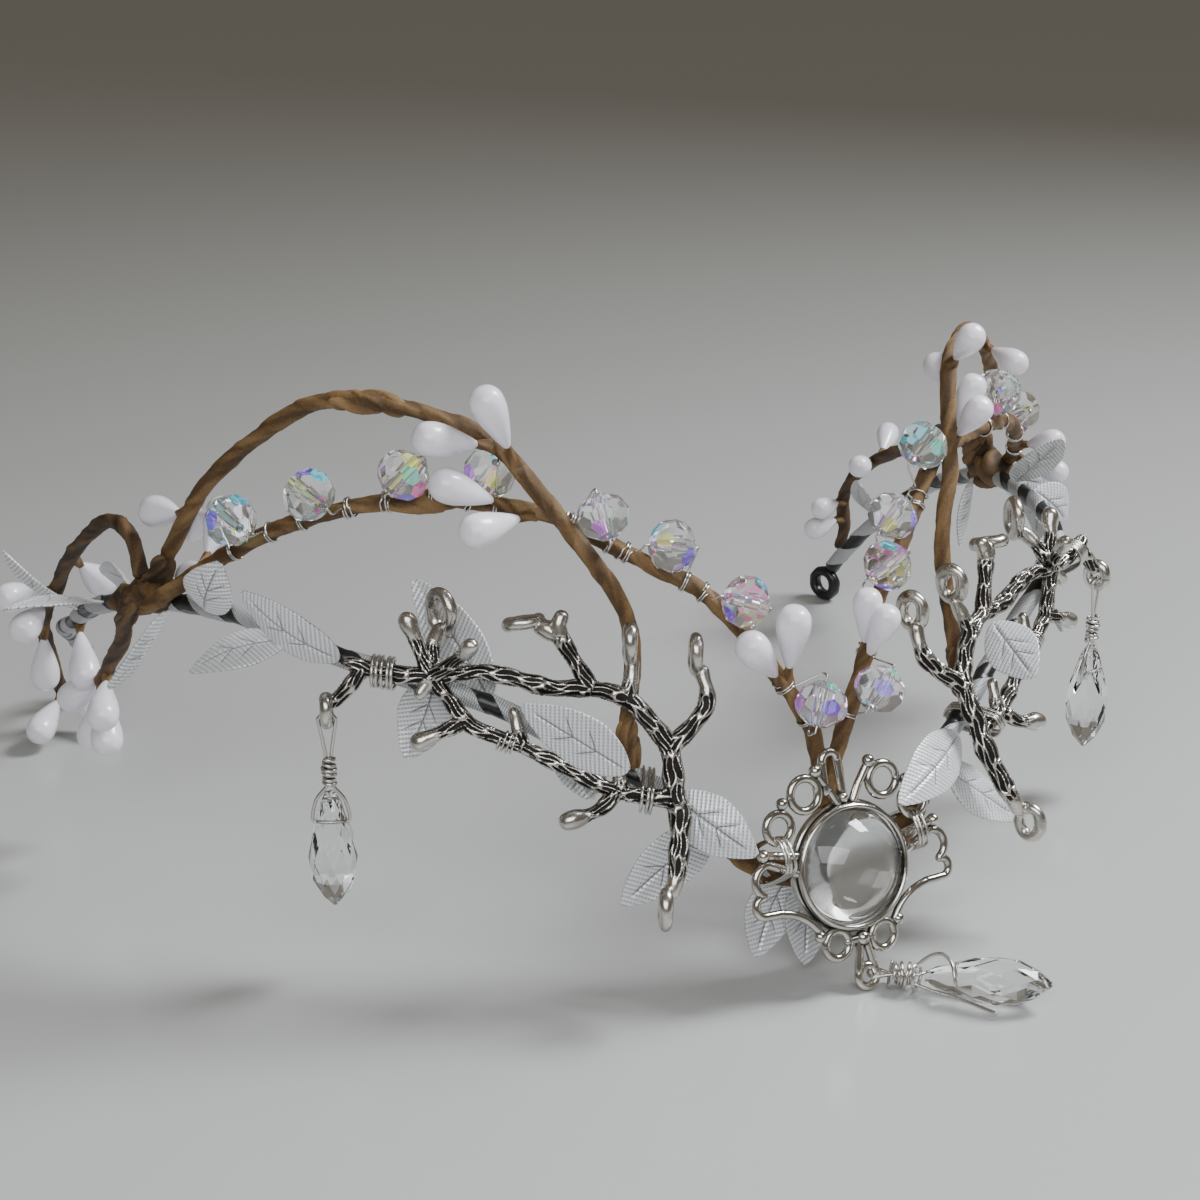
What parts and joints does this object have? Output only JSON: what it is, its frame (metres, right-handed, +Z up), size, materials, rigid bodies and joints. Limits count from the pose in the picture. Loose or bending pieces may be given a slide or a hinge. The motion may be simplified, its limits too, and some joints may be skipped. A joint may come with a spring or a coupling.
{
  "type": "fairy crown",
  "caption": "Open twig crown of wrapped wire vines and leaves with beads, berries, two cast twig charms, a framed cabochon and hanging drops.",
  "frame": {"origin": "middle of the crown's footprint on the surface that it stands on", "axes": "+X to the wearer's left, +Y to the back of the head, +Z up"},
  "size_m": [0.2113, 0.1903, 0.0964],
  "materials": {
    "band_wrap": "black tape with grey ribbed ribbon wound over it",
    "vine_paper": "golden brown crepe paper, finely wrinkled",
    "cast_silver": "antique silver, bright ridges and black recesses",
    "wire": "silver wire",
    "cabochon_glass": "clear and domed",
    "drop_glass": "clear, facetted",
    "bead_glass": "clear, facetted, with an iridescent coat",
    "berry_lacquer": "glossy lilac white",
    "leaf_cloth": "silver white ribbed cloth with pressed veins"
  },
  "bodies": {
    "crown": {"band": "band_wrap", "band_loop_left": "band_wrap", "band_loop_right": "band_wrap", "vine_front_left": "vine_paper", "vine_front_right": "vine_paper", "vine_arch_left": "vine_paper", "vine_arch_right": "vine_paper", "vine_rear_left": "vine_paper", "vine_rear_right": "vine_paper", "vine_low_left": "vine_paper", "pendant_setting": "cast_silver", "cabochon": "cabochon_glass", "pendant_ties": "wire", "charm_left": "cast_silver", "charm_right": "cast_silver", "charm_ties_left": "wire", "charm_ties_right": "wire", "bail_front": "wire", "stone_front": "drop_glass", "bead_left_1": "bead_glass", "bead_left_2": "bead_glass", "bead_left_3": "bead_glass", "bead_left_4": "bead_glass", "bead_left_5": "bead_glass", "bead_left_6": "bead_glass", "bead_left_7": "bead_glass", "bead_left_8": "bead_glass", "bead_right_1": "bead_glass", "bead_right_2": "bead_glass", "bead_right_3": "bead_glass", "bead_right_4": "bead_glass", "bead_right_5": "bead_glass", "bead_right_6": "bead_glass", "bead_wires_left": "wire", "bead_wires_right": "wire", "berries_front_left": "berry_lacquer", "berries_arch_left": "berry_lacquer", "berries_mid_left": "berry_lacquer", "berries_knot_left": "berry_lacquer", "berries_low_left": "berry_lacquer", "berries_end_left": "berry_lacquer", "berries_front_right": "berry_lacquer", "berries_arch_right": "berry_lacquer", "berries_knot_right": "berry_lacquer", "berries_end_right": "berry_lacquer", "leaves_front_left": "leaf_cloth", "leaves_low_left": "leaf_cloth", "leaves_charm_left": "leaf_cloth", "leaves_side_left": "leaf_cloth", "leaves_knot_left": "leaf_cloth", "leaves_end_left": "leaf_cloth", "leaves_front_right": "leaf_cloth", "leaves_charm_right": "leaf_cloth", "leaves_side_right": "leaf_cloth", "leaves_knot_right": "leaf_cloth"},
    "drop_left": {"bail_left": "wire", "stone_left": "drop_glass"},
    "drop_right": {"bail_right": "wire", "stone_right": "drop_glass"}
  },
  "joints": [
    {"name": "drop_left_swing", "type": "hinge", "parent": "crown", "child": "drop_left", "pos_m": [-0.06843, -0.03082, 0.04465], "axis": [-0.4384, -0.8988, 0], "range_deg": [-38, 38]},
    {"name": "drop_right_swing", "type": "hinge", "parent": "crown", "child": "drop_right", "pos_m": [0.07936, -0.03507, 0.04178], "axis": [0.4067, -0.9135, 0], "range_deg": [-38, 38]}
  ]
}
